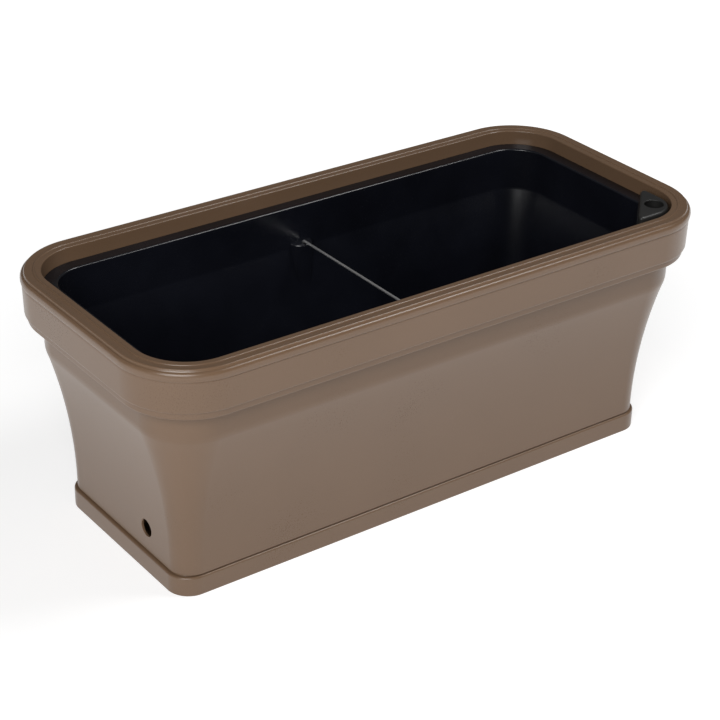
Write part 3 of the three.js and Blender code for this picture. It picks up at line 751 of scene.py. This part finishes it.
def sockets(bm):
    for y in (-SOCKET[0], SOCKET[0]):
        low, high = COLUMN[3] - 2 * LINER_WALL, COLUMN[3] + OVERLAP
        tube(bm, SOCKET[1], SOCKET[1], low, high, 0, y, SOCKET_SIDES)


def drain_slots(bm):
    for index in range(SLOT_COUNT):
        x = (index - (SLOT_COUNT - 1) / 2) * SLOT_PITCH
        for y in (-SLOT_Y, SLOT_Y):
            verts = block(bm, (*SLOT, 4 * LINER_WALL), (x, y, LINER_FLOOR[1]))
            edges = {edge for vert in verts for edge in vert.link_edges}
            bevel(bm, [edge for edge in edges if is_upright(edge)], "EDGES", SLOT_END, 6)


def is_upright(edge):
    run = edge.verts[1].co - edge.verts[0].co
    return abs(run.z) > 0.9 * run.length


def cup_holes(bm):
    radius = CUP_TOP + HOLE_GAP
    for x in CUPS_X:
        tube(bm, radius, radius, LINER_FLOOR[0] - OVERLAP, LINER_FLOOR[1] + OVERLAP, x, 0, CUP_SIDES)


def port_mouth(bm):
    radius = PORT_SPIGOT + HOLE_GAP
    tube(bm, radius, radius, FLANGE[0] - OVERLAP, FLANGE[1] + OVERLAP, *PORT_HOLE)


def black_plastic(name, colour, roughness, grain_scale):
    """A moulded black plastic with faint flow marks, cloudier and lighter in patches."""
    finish = Finish(name, IOR=1.49)
    clouds = finish.noise(12.0, 3.0)
    fine = finish.noise(grain_scale, 2.0)
    flow = finish.noise(40.0, 2.0, stretch=(1, 1, 0.12))
    light = tuple(level * 1.8 for level in colour)
    finish.feed("Base Color", finish.blend(finish.window(clouds, 0.3, 0.75), colour, light))
    finish.feed("Roughness", roughness + clouds * 0.08 + fine * 0.05)
    finish.relief((flow, 0.05, 0.0008), (fine, 0.14, 0.0002))
    return finish.material


def copy_of(bm, other):
    bm.from_mesh(other.data)


def make_liner():
    cavity = new_mesh("liner_cavity", loft, liner_inside())
    carve(cavity, "DIFFERENCE", corner_block, CHORD, FLANGE[1] + CUTTER_RISE)
    carve(cavity, "DIFFERENCE", column, 0, COLUMN[3], COLUMN_EDGE)
    liner = new_mesh("planter_liner", loft, liner_outside())
    carve(liner, "DIFFERENCE", corner_block, CHORD + LINER_WALL * math.sqrt(2), FLANGE[0])
    carve(liner, "UNION", posts, 0, FLOOR_TOP + GAP, LINER_FLOOR[0] + OVERLAP)
    carve(liner, "DIFFERENCE", copy_of, cavity)
    carve(liner, "DIFFERENCE", column, LINER_WALL, COLUMN[3] - LINER_WALL, 0)
    carve(liner, "DIFFERENCE", posts, LINER_WALL, FLOOR_TOP + GAP + LINER_WALL, LINER_FLOOR[1] + OVERLAP)
    for cutter in (sockets, drain_slots, cup_holes, port_mouth):
        carve(liner, "DIFFERENCE", cutter)
    bpy.data.objects.remove(cavity)
    finish = black_plastic("liner_black", LINER_BLACK, 0.19, 1500.0)
    complete(liner, finish, "liner", "liner_plastic", "liner")


make_liner()

# ---------------------------------------------------------------- fill port
# A small black cap on the liner's flange, over the shaft: a rounded triangle with rolled edges,
# a round hole for a spout or a hose, and a spigot that drops into the flange's mouth.
PORT_LEGS = (346, -144)
PORT_CHORD = 423
PORT_CORNER = 33
PORT_TIP = 14
PORT_TOP = 300.6
PORT_WALL = 2.2
PORT_EDGE = 4
PORT_HOLE_RADIUS = 11.4
PORT_HOLE_EDGE = 0.8
PORT_SPIGOT_BOTTOM = 268
PORT_SPIGOT_WALL = 1.2
PORT_SPIGOT_TAPER = 0.4
PORT_BLACK = (0.011, 0.0107, 0.0103)


def port_block(bm, shrink, low, high):
    """The cap's rounded triangle with its rolled top edge, drawn in on every side by shrink."""
    leg_x, leg_y = PORT_LEGS[0] - shrink, PORT_LEGS[1] + shrink
    chord = PORT_CHORD + shrink * math.sqrt(2)
    tips = [bm.verts.new((leg_x, leg_x - chord, low)), bm.verts.new((leg_y + chord, leg_y, low))]
    corner = bm.verts.new((leg_x, leg_y, low))
    bm.faces.new([tips[0], tips[1], corner])
    bevel(bm, [corner], "VERTICES", PORT_CORNER - shrink, 24)
    sharp = sorted(bm.verts, key=lambda vert: vert.co.x - vert.co.y)[:2]
    bevel(bm, sharp, "VERTICES", PORT_TIP, 10)
    made = bmesh.ops.extrude_face_region(bm, geom=list(bm.faces))["geom"]
    top = [part for part in made if isinstance(part, bmesh.types.BMVert)]
    bmesh.ops.translate(bm, vec=(0, 0, high - low), verts=top)
    rim = [edge for edge in bm.edges if all(vert in top for vert in edge.verts)]
    bevel(bm, rim, "EDGES", PORT_EDGE, 8, clamp=True)
    bmesh.ops.recalc_face_normals(bm, faces=bm.faces)


def spigot(bm):
    low, high = PORT_SPIGOT_BOTTOM, PORT_TOP - PORT_WALL / 2
    tube(bm, PORT_SPIGOT - PORT_SPIGOT_TAPER, PORT_SPIGOT, low, high, *PORT_HOLE)


def port_bore(bm):
    """The hole's cutter: narrow through the cap's top, wider down the spigot."""
    wide = PORT_SPIGOT - PORT_SPIGOT_WALL
    under = PORT_TOP - PORT_WALL
    mouth = PORT_HOLE_RADIUS + PORT_HOLE_EDGE
    turned(bm, [
        (0, PORT_SPIGOT_BOTTOM - OVERLAP),
        (wide, PORT_SPIGOT_BOTTOM - OVERLAP),
        (wide, under),
        (PORT_HOLE_RADIUS, under),
        *arc(mouth, PORT_TOP - PORT_HOLE_EDGE, PORT_HOLE_EDGE, PORT_HOLE_EDGE, 180, 90, 5),
        (mouth, PORT_TOP + OVERLAP),
        (0, PORT_TOP + OVERLAP),
    ], ROUND_SIDES)
    bmesh.ops.translate(bm, vec=(*PORT_HOLE, 0), verts=bm.verts)


def make_port():
    port = new_mesh("water_fill_port", port_block, 0, FLANGE[1] + GAP, PORT_TOP)
    carve(port, "DIFFERENCE", port_block, PORT_WALL, FLANGE[1] - 2 * OVERLAP, PORT_TOP - PORT_WALL)
    carve(port, "UNION", spigot)
    carve(port, "DIFFERENCE", port_bore)
    finish = black_plastic("port_black", PORT_BLACK, 0.36, 1700.0)
    complete(port, finish, "fill_port", "port_plastic", "fill_port")


make_port()

# ---------------------------------------------------------------- tie rod
# A length of bright drawn steel wire, bent down at both ends, which drops into the liner's two
# columns and keeps the long walls from bowing.
ROD_RADIUS = 1.5
ROD_BEND = 2.6
ROD_LEG = 12
ROD_SIDES = 24
ROD_STEPS = 12
STEEL = ((0.88, 0.88, 0.88), (0.94, 0.94, 0.94))


def rod(bm):
    low = COLUMN[3] - ROD_LEG
    bend_z = COLUMN[3] + GAP + ROD_RADIUS - ROD_BEND
    bend_y = SOCKET[0] - ROD_BEND
    matrix = Matrix.Translation((0, SOCKET[0], low))
    bmesh.ops.create_circle(bm, cap_ends=True, segments=ROD_SIDES, radius=ROD_RADIUS, matrix=matrix)
    edges = stretch(bm, list(bm.edges), (0, 0, bend_z - low), 1)
    edges = bend(bm, edges, (0, bend_y, bend_z))
    edges = stretch(bm, edges, (0, -2 * bend_y, 0), ROD_STEPS)
    edges = bend(bm, edges, (0, -bend_y, bend_z))
    edges = stretch(bm, edges, (0, 0, low - bend_z), 1)
    bmesh.ops.contextual_create(bm, geom=edges)
    bmesh.ops.recalc_face_normals(bm, faces=bm.faces)


def stretch(bm, edges, run, steps):
    for _ in range(steps):
        made = bmesh.ops.extrude_edge_only(bm, edges=edges)["geom"]
        verts = [part for part in made if isinstance(part, bmesh.types.BMVert)]
        bmesh.ops.translate(bm, vec=Vector(run) / steps, verts=verts)
        edges = [part for part in made if isinstance(part, bmesh.types.BMEdge)]
        edges = [edge for edge in edges if all(end in verts for end in edge.verts)]
    return edges


def bend(bm, edges, centre):
    made = bmesh.ops.spin(bm, geom=edges, cent=centre, axis=(1, 0, 0), angle=math.pi / 2, steps=10)
    return [part for part in made["geom_last"] if isinstance(part, bmesh.types.BMEdge)]


def drawn_steel():
    finish = Finish("drawn_steel", Metallic=1.0)
    draw = finish.noise(1400.0, 2.0, stretch=(1, 0.01, 1))
    spots = finish.noise(160.0, 3.0)
    finish.feed("Base Color", finish.blend(finish.window(spots, 0.35, 0.8), *STEEL))
    finish.feed("Roughness", 0.36 + draw * 0.12)
    finish.relief((draw, 0.2, 0.0001))
    return finish.material


tie_rod = new_mesh("steel_tie_rod", rod)
complete(tie_rod, drawn_steel(), "tie_rod", "rod_steel", "tie_rod")

# ---------------------------------------------------------------- wicking cups
# Four perforated black cups that hang by their flanges in round holes in the liner's floor. They
# dip into the water, which comes in through their slots, and the soil in them draws it up.
CUP_RADIUS = 37
CUP_BOTTOM = 18
CUP_FLANGE = 49
CUP_WALL = 2
CUP_FOOT = 3
CUP_BREAK = 0.5
CUP_FLANGE_EDGE = 0.8
CUP_MOUTH_EDGE = 1.2
CUP_SLOTS = 8
CUP_SLOT_DEPTH = 12
CUP_FLOOR_SLOTS = 4
CUP_FLOOR_SLOT = 18
CUP_SLOT_WIDTH = 4
CUP_SLOT_HEIGHTS = (24, 54)
CUP_BLACK = (0.011, 0.011, 0.012)


def cup_body(bm):
    seat = LINER_FLOOR[1] + GAP
    top = seat + CUP_WALL
    outside = CUP_RADIUS - CUP_FOOT
    inside = outside - CUP_WALL
    inner_foot = CUP_BOTTOM + CUP_WALL + CUP_FOOT
    flange, mouth = CUP_FLANGE_EDGE, CUP_MOUTH_EDGE
    turned(bm, [
        (0, CUP_BOTTOM),
        *arc(outside, CUP_BOTTOM + CUP_FOOT, CUP_FOOT, CUP_FOOT, -90, 0, 6),
        (CUP_TOP, seat - CUP_BREAK),
        (CUP_TOP + CUP_BREAK, seat),
        (CUP_FLANGE - SMALL_BREAK, seat),
        (CUP_FLANGE, seat + SMALL_BREAK),
        *arc(CUP_FLANGE - flange, top - flange, flange, flange, 0, 90, 4),
        *arc(CUP_TOP - CUP_WALL + mouth, top - mouth, mouth, mouth, 90, 180, 4),
        *arc(inside, inner_foot, CUP_FOOT, CUP_FOOT, 0, -90, 6),
        (0, CUP_BOTTOM + CUP_WALL),
    ], CUP_SIDES)


def cup_cuts(bm):
    """Cutters for the upright slots in the cup's wall and the cross of slots in its floor."""
    low, high = CUP_SLOT_HEIGHTS
    out = CUP_RADIUS + CUP_WALL
    for index in range(CUP_SLOTS):
        angle = math.tau * (index + 0.5) / CUP_SLOTS
        place = (out * math.cos(angle), out * math.sin(angle), (low + high) / 2)
        block(bm, (CUP_SLOT_DEPTH, CUP_SLOT_WIDTH, high - low), place, angle)
    for index in range(CUP_FLOOR_SLOTS):
        angle = math.tau * index / CUP_FLOOR_SLOTS
        place = (CUP_FLOOR_SLOT * math.cos(angle), CUP_FLOOR_SLOT * math.sin(angle), CUP_BOTTOM)
        block(bm, (CUP_FLOOR_SLOT, CUP_SLOT_WIDTH, 3 * CUP_WALL), place, angle)


def shifted(bm, other, x):
    bm.from_mesh(other.data)
    bmesh.ops.translate(bm, vec=(x, 0, 0), verts=bm.verts)


def make_cups():
    pattern = new_mesh("cup_pattern", cup_body)
    carve(pattern, "DIFFERENCE", cup_cuts)
    finish = black_plastic("cup_black", CUP_BLACK, 0.46, 1300.0)
    for number, x in enumerate(CUPS_X, start=1):
        cup = new_mesh(f"wicking_cup_{number}", shifted, pattern, x)
        complete(cup, finish, f"wick_cup_{number}", "cup_plastic", f"wick_cup_{number}")
    bpy.data.objects.remove(pattern)


make_cups()

# ---------------------------------------------------------------- drain plug
# A soft rubber plug pushed down through the shell's floor, with a thumb grip on top. It is pulled
# to empty the reservoir before winter.
PLUG_HEAD = (15, 3)
PLUG_HEAD_EDGE = 1.2
PLUG_STEM_GAP = 0.4
PLUG_STEM_BOTTOM = 2.6
PLUG_STEM_TAPER = (1.6, 2.4)
PLUG_GRIP = (14, 4, 10)
PLUG_GRIP_SINK = 0.5
PLUG_GRIP_SHOULDER = 6.9
PLUG_GRIP_EDGE = 0.8
RUBBER = ((0.018, 0.018, 0.019), (0.05, 0.05, 0.05))


def plug_body(bm):
    seat = FLOOR_TOP + GAP
    stem = DRAIN_RADIUS - PLUG_STEM_GAP
    radius, thickness = PLUG_HEAD
    edge = PLUG_HEAD_EDGE
    turned(bm, [
        (0, PLUG_STEM_BOTTOM),
        (stem - PLUG_STEM_TAPER[0], PLUG_STEM_BOTTOM),
        (stem, PLUG_STEM_BOTTOM + PLUG_STEM_TAPER[1]),
        (stem, seat),
        (radius - SMALL_BREAK, seat),
        (radius, seat + SMALL_BREAK),
        *arc(radius - edge, seat + thickness - edge, edge, edge, 0, 90, 5),
        (0, seat + thickness),
    ], COLUMN_SIDES)


def plug_grip(bm):
    """A tab with round shoulders, sunk a little into the plug's head."""
    length, thickness, height = PLUG_GRIP
    low = FLOOR_TOP + GAP + PLUG_HEAD[1] - PLUG_GRIP_SINK
    top = low + height
    block(bm, (length, thickness, height), (0, 0, low + height / 2))
    shoulders = [edge for edge in bm.edges if lowest(edge) > top - OVERLAP]
    across = [edge for edge in shoulders if abs(edge.verts[0].co.x - edge.verts[1].co.x) < OVERLAP]
    bevel(bm, across, "EDGES", PLUG_GRIP_SHOULDER, 12)
    sharp = [edge for edge in bm.edges if highest(edge) > low + OVERLAP and edge.calc_face_angle() > 1]
    bevel(bm, sharp, "EDGES", PLUG_GRIP_EDGE, 4)


def highest(edge):
    return max(vert.co.z for vert in edge.verts)


def soft_rubber():
    finish = Finish("soft_rubber", IOR=1.52)
    bloom = finish.noise(90.0, 4.0)
    grain = finish.noise(1900.0, 2.0)
    finish.feed("Base Color", finish.blend(finish.window(bloom, 0.4, 0.8), *RUBBER))
    finish.feed("Roughness", 0.62 + bloom * 0.2)
    finish.relief((bloom, 0.08, 0.0005), (grain, 0.2, 0.0002))
    return finish.material


plug = new_mesh("rubber_drain_plug", plug_body)
carve(plug, "UNION", plug_grip)
complete(plug, soft_rubber(), "drain_plug", "plug_rubber", "drain_plug")
